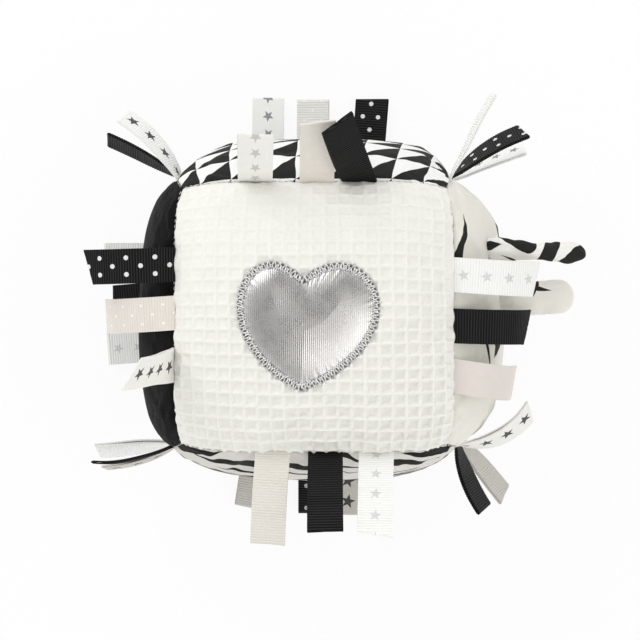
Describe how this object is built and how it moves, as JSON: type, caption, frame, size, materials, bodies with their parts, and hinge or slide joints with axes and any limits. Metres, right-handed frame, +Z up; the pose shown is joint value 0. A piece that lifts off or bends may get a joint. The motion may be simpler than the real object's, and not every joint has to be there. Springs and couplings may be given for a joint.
{
  "type": "soft fabric block",
  "caption": "Soft stuffed fabric block for babies: cloth panels with folded ribbon loops in the seams, a foil heart on top and two padded tails on one side.",
  "frame": {"origin": "middle of the flat that the base panel rests on", "axes": "+Z up, out of the panel with the heart; +X towards the side with the two tails, the object's longest way; +Y towards the side with the triangle print"},
  "size_m": [0.2415, 0.2132, 0.1745],
  "materials": {
    "stuffing": "polyester fibre filling",
    "waffle_cotton": "waffle-weave cotton",
    "plain_cotton": "plain-weave cotton",
    "black_plush": "short-pile plush",
    "zebra_cotton": "printed cotton, zebra stripes",
    "triangle_cotton": "printed cotton, black and white triangles",
    "foil_cloth": "silver foil-coated cloth",
    "cream_star_ribbon": "matt cotton tape, printed stars",
    "beige_ribbon": "ribbed grosgrain",
    "black_ribbon": "ribbed grosgrain",
    "black_dot_ribbon": "ribbed grosgrain, printed dots",
    "beige_dot_ribbon": "ribbed grosgrain, printed dots",
    "white_star_ribbon": "satin woven tape, printed stars",
    "grey_ribbon": "ribbed grosgrain",
    "grey_star_ribbon": "matt cotton tape, printed stars",
    "white_ribbon": "ribbed grosgrain"
  },
  "bodies": {
    "block": {"stuffing": "stuffing", "heart_panel": "waffle_cotton", "base_panel": "plain_cotton", "plush_panel": "black_plush", "zebra_side_panel": "zebra_cotton", "triangle_panel": "triangle_cotton", "zebra_front_panel": "zebra_cotton", "foil_heart": "foil_cloth"},
    "ribbon_heart_rear_1": {"ribbon_heart_rear_1": "cream_star_ribbon"},
    "ribbon_heart_rear_2": {"ribbon_heart_rear_2": "beige_ribbon"},
    "ribbon_heart_rear_3": {"ribbon_heart_rear_3": "black_ribbon"},
    "ribbon_heart_left_1": {"ribbon_heart_left_1": "black_dot_ribbon"},
    "ribbon_heart_left_2": {"ribbon_heart_left_2": "beige_dot_ribbon"},
    "ribbon_heart_left_3": {"ribbon_heart_left_3": "cream_star_ribbon"},
    "ribbon_heart_right_1": {"ribbon_heart_right_1": "white_star_ribbon"},
    "ribbon_heart_right_2": {"ribbon_heart_right_2": "black_ribbon"},
    "ribbon_heart_right_3": {"ribbon_heart_right_3": "beige_ribbon"},
    "ribbon_heart_front_1": {"ribbon_heart_front_1": "beige_ribbon"},
    "ribbon_heart_front_2": {"ribbon_heart_front_2": "black_ribbon"},
    "ribbon_heart_front_3": {"ribbon_heart_front_3": "white_star_ribbon"},
    "ribbon_base_rear_1": {"ribbon_base_rear_1": "white_star_ribbon"},
    "ribbon_base_rear_2": {"ribbon_base_rear_2": "beige_dot_ribbon"},
    "ribbon_base_rear_3": {"ribbon_base_rear_3": "black_dot_ribbon"},
    "ribbon_base_left_1": {"ribbon_base_left_1": "beige_dot_ribbon"},
    "ribbon_base_left_2": {"ribbon_base_left_2": "black_ribbon"},
    "ribbon_base_left_3": {"ribbon_base_left_3": "white_star_ribbon"},
    "ribbon_base_front_1": {"ribbon_base_front_1": "grey_ribbon"},
    "ribbon_base_front_2": {"ribbon_base_front_2": "black_dot_ribbon"},
    "ribbon_base_front_3": {"ribbon_base_front_3": "grey_star_ribbon"},
    "ribbon_corner_rear_left_1": {"ribbon_corner_rear_left_1": "white_star_ribbon"},
    "ribbon_corner_rear_left_2": {"ribbon_corner_rear_left_2": "black_ribbon"},
    "ribbon_corner_rear_right_1": {"ribbon_corner_rear_right_1": "white_ribbon"},
    "ribbon_corner_rear_right_2": {"ribbon_corner_rear_right_2": "black_dot_ribbon"},
    "ribbon_corner_rear_right_3": {"ribbon_corner_rear_right_3": "white_star_ribbon"},
    "ribbon_corner_front_left_1": {"ribbon_corner_front_left_1": "black_ribbon"},
    "ribbon_corner_front_left_2": {"ribbon_corner_front_left_2": "white_ribbon"},
    "ribbon_corner_front_left_3": {"ribbon_corner_front_left_3": "grey_ribbon"},
    "ribbon_corner_front_right_1": {"ribbon_corner_front_right_1": "cream_star_ribbon"},
    "ribbon_corner_front_right_2": {"ribbon_corner_front_right_2": "black_ribbon"},
    "ribbon_corner_front_right_3": {"ribbon_corner_front_right_3": "grey_ribbon"},
    "flat_tail": {"flat_tail": "zebra_cotton"},
    "twisted_tail": {"twisted_tail": "zebra_cotton"}
  },
  "joints": [
    {"name": "ribbon_heart_rear_1_swing", "type": "hinge", "parent": "block", "child": "ribbon_heart_rear_1", "pos_m": [-0.02684, 0.06296, 0.13186], "axis": [1, 0, 0], "range_deg": [-95, 42], "stiffness_Nm_per_rad": 0.004},
    {"name": "ribbon_heart_rear_2_swing", "type": "hinge", "parent": "block", "child": "ribbon_heart_rear_2", "pos_m": [0.00159, 0.06298, 0.13188], "axis": [1, 0, 0], "range_deg": [-67, 4], "stiffness_Nm_per_rad": 0.004},
    {"name": "ribbon_heart_rear_3_swing", "type": "hinge", "parent": "block", "child": "ribbon_heart_rear_3", "pos_m": [0.02117, 0.06297, 0.13187], "axis": [1, 0, 0], "range_deg": [-4, 37], "stiffness_Nm_per_rad": 0.004},
    {"name": "ribbon_heart_left_1_swing", "type": "hinge", "parent": "block", "child": "ribbon_heart_left_1", "pos_m": [-0.06517, 0.02411, 0.13186], "axis": [0, 1, 0], "range_deg": [-38, 99], "stiffness_Nm_per_rad": 0.004},
    {"name": "ribbon_heart_left_2_swing", "type": "hinge", "parent": "block", "child": "ribbon_heart_left_2", "pos_m": [-0.06518, 0.00176, 0.13188], "axis": [0, 1, 0], "range_deg": [-21, 110], "stiffness_Nm_per_rad": 0.004},
    {"name": "ribbon_heart_left_3_swing", "type": "hinge", "parent": "block", "child": "ribbon_heart_left_3", "pos_m": [-0.06517, -0.02234, 0.13187], "axis": [0, 1, 0], "range_deg": [-88, 28], "stiffness_Nm_per_rad": 0.004},
    {"name": "ribbon_heart_right_1_swing", "type": "hinge", "parent": "block", "child": "ribbon_heart_right_1", "pos_m": [0.06518, 0.0194, 0.13188], "axis": [0, -1, 0], "range_deg": [-30, 106], "stiffness_Nm_per_rad": 0.004},
    {"name": "ribbon_heart_right_2_swing", "type": "hinge", "parent": "block", "child": "ribbon_heart_right_2", "pos_m": [0.06518, -0.00412, 0.13188], "axis": [0, -1, 0], "range_deg": [-5, 110], "stiffness_Nm_per_rad": 0.004},
    {"name": "ribbon_heart_right_3_swing", "type": "hinge", "parent": "block", "child": "ribbon_heart_right_3", "pos_m": [0.06515, -0.02705, 0.13185], "axis": [0, -1, 0], "range_deg": [-20, 110], "stiffness_Nm_per_rad": 0.004},
    {"name": "ribbon_heart_front_1_swing", "type": "hinge", "parent": "block", "child": "ribbon_heart_front_1", "pos_m": [-0.01891, -0.06298, 0.13188], "axis": [-1, 0, 0], "range_deg": [-47, 97], "stiffness_Nm_per_rad": 0.004},
    {"name": "ribbon_heart_front_2_swing", "type": "hinge", "parent": "block", "child": "ribbon_heart_front_2", "pos_m": [0.00549, -0.06298, 0.13188], "axis": [-1, 0, 0], "range_deg": [-74, 69], "stiffness_Nm_per_rad": 0.004},
    {"name": "ribbon_heart_front_3_swing", "type": "hinge", "parent": "block", "child": "ribbon_heart_front_3", "pos_m": [0.02898, -0.06294, 0.13184], "axis": [-1, 0, 0], "range_deg": [-70, 75], "stiffness_Nm_per_rad": 0.004},
    {"name": "ribbon_base_rear_1_swing", "type": "hinge", "parent": "block", "child": "ribbon_base_rear_1", "pos_m": [-0.03191, 0.06292, 0.00819], "axis": [1, 0, 0], "range_deg": [-1, 27], "stiffness_Nm_per_rad": 0.004},
    {"name": "ribbon_base_rear_2_swing", "type": "hinge", "parent": "block", "child": "ribbon_base_rear_2", "pos_m": [-0.00915, 0.06298, 0.00812], "axis": [1, 0, 0], "range_deg": [-1, 26], "stiffness_Nm_per_rad": 0.004},
    {"name": "ribbon_base_rear_3_swing", "type": "hinge", "parent": "block", "child": "ribbon_base_rear_3", "pos_m": [0.01769, 0.06298, 0.00812], "axis": [1, 0, 0], "range_deg": [-1, 27], "stiffness_Nm_per_rad": 0.004},
    {"name": "ribbon_base_left_1_swing", "type": "hinge", "parent": "block", "child": "ribbon_base_left_1", "pos_m": [-0.06515, 0.02646, 0.00815], "axis": [0, 1, 0], "range_deg": [0, 26], "stiffness_Nm_per_rad": 0.004},
    {"name": "ribbon_base_left_2_swing", "type": "hinge", "parent": "block", "child": "ribbon_base_left_2", "pos_m": [-0.06518, 0.00882, 0.00812], "axis": [0, 1, 0], "range_deg": [0, 25], "stiffness_Nm_per_rad": 0.004},
    {"name": "ribbon_base_left_3_swing", "type": "hinge", "parent": "block", "child": "ribbon_base_left_3", "pos_m": [-0.06518, -0.01588, 0.00812], "axis": [0, 1, 0], "range_deg": [0, 24], "stiffness_Nm_per_rad": 0.004},
    {"name": "ribbon_base_front_1_swing", "type": "hinge", "parent": "block", "child": "ribbon_base_front_1", "pos_m": [-0.03539, -0.06286, 0.00825], "axis": [-1, 0, 0], "range_deg": [-2, 35], "stiffness_Nm_per_rad": 0.004},
    {"name": "ribbon_base_front_2_swing", "type": "hinge", "parent": "block", "child": "ribbon_base_front_2", "pos_m": [-0.00854, -0.06298, 0.00812], "axis": [-1, 0, 0], "range_deg": [-2, 35], "stiffness_Nm_per_rad": 0.004},
    {"name": "ribbon_base_front_3_swing", "type": "hinge", "parent": "block", "child": "ribbon_base_front_3", "pos_m": [0.00854, -0.06298, 0.00812], "axis": [-1, 0, 0], "range_deg": [-2, 35], "stiffness_Nm_per_rad": 0.004},
    {"name": "ribbon_corner_rear_left_1_swing", "type": "hinge", "parent": "block", "child": "ribbon_corner_rear_left_1", "pos_m": [-0.06662, 0.06479, 0.09423], "axis": [0, 0, 1], "range_deg": [-37, 82], "stiffness_Nm_per_rad": 0.004},
    {"name": "ribbon_corner_rear_left_2_swing", "type": "hinge", "parent": "block", "child": "ribbon_corner_rear_left_2", "pos_m": [-0.06692, 0.06515, 0.07], "axis": [0, 0, 1], "range_deg": [-73, 43], "stiffness_Nm_per_rad": 0.004},
    {"name": "ribbon_corner_rear_right_1_swing", "type": "hinge", "parent": "block", "child": "ribbon_corner_rear_right_1", "pos_m": [0.06164, 0.06437, 0.09423], "axis": [0, 0, 1], "range_deg": [-81, 11], "stiffness_Nm_per_rad": 0.004},
    {"name": "ribbon_corner_rear_right_2_swing", "type": "hinge", "parent": "block", "child": "ribbon_corner_rear_right_2", "pos_m": [0.061, 0.06466, 0.07], "axis": [0, 0, 1], "range_deg": [-48, 47], "stiffness_Nm_per_rad": 0.004},
    {"name": "ribbon_corner_rear_right_3_swing", "type": "hinge", "parent": "block", "child": "ribbon_corner_rear_right_3", "pos_m": [0.06164, 0.06437, 0.04577], "axis": [0, 0, 1], "range_deg": [-39, 56], "stiffness_Nm_per_rad": 0.004},
    {"name": "ribbon_corner_front_left_1_swing", "type": "hinge", "parent": "block", "child": "ribbon_corner_front_left_1", "pos_m": [-0.06993, -0.06233, 0.09423], "axis": [0, 0, 1], "range_deg": [-41, 96], "stiffness_Nm_per_rad": 0.004},
    {"name": "ribbon_corner_front_left_2_swing", "type": "hinge", "parent": "block", "child": "ribbon_corner_front_left_2", "pos_m": [-0.07084, -0.06223, 0.07], "axis": [0, 0, 1], "range_deg": [-13, 106], "stiffness_Nm_per_rad": 0.004},
    {"name": "ribbon_corner_front_left_3_swing", "type": "hinge", "parent": "block", "child": "ribbon_corner_front_left_3", "pos_m": [-0.06993, -0.06233, 0.04577], "axis": [0, 0, 1], "range_deg": [-46, 83], "stiffness_Nm_per_rad": 0.004},
    {"name": "ribbon_corner_front_right_1_swing", "type": "hinge", "parent": "block", "child": "ribbon_corner_front_right_1", "pos_m": [0.06489, -0.06118, 0.09423], "axis": [0, 0, 1], "range_deg": [-100, 1], "stiffness_Nm_per_rad": 0.004},
    {"name": "ribbon_corner_front_right_2_swing", "type": "hinge", "parent": "block", "child": "ribbon_corner_front_right_2", "pos_m": [0.06486, -0.06087, 0.07], "axis": [0, 0, 1], "range_deg": [-24, 78], "stiffness_Nm_per_rad": 0.004},
    {"name": "ribbon_corner_front_right_3_swing", "type": "hinge", "parent": "block", "child": "ribbon_corner_front_right_3", "pos_m": [0.06489, -0.06118, 0.04577], "axis": [0, 0, 1], "range_deg": [-51, 53], "stiffness_Nm_per_rad": 0.004},
    {"name": "flat_tail_swing", "type": "hinge", "parent": "block", "child": "flat_tail", "pos_m": [0.08506, 0.00688, 0.09928], "axis": [0, -1, 0], "range_deg": [-47, 16], "stiffness_Nm_per_rad": 0.02},
    {"name": "twisted_tail_swing", "type": "hinge", "parent": "block", "child": "twisted_tail", "pos_m": [0.07944, 0.0314, 0.11266], "axis": [0, -1, 0], "range_deg": [-39, 79], "stiffness_Nm_per_rad": 0.02}
  ]
}
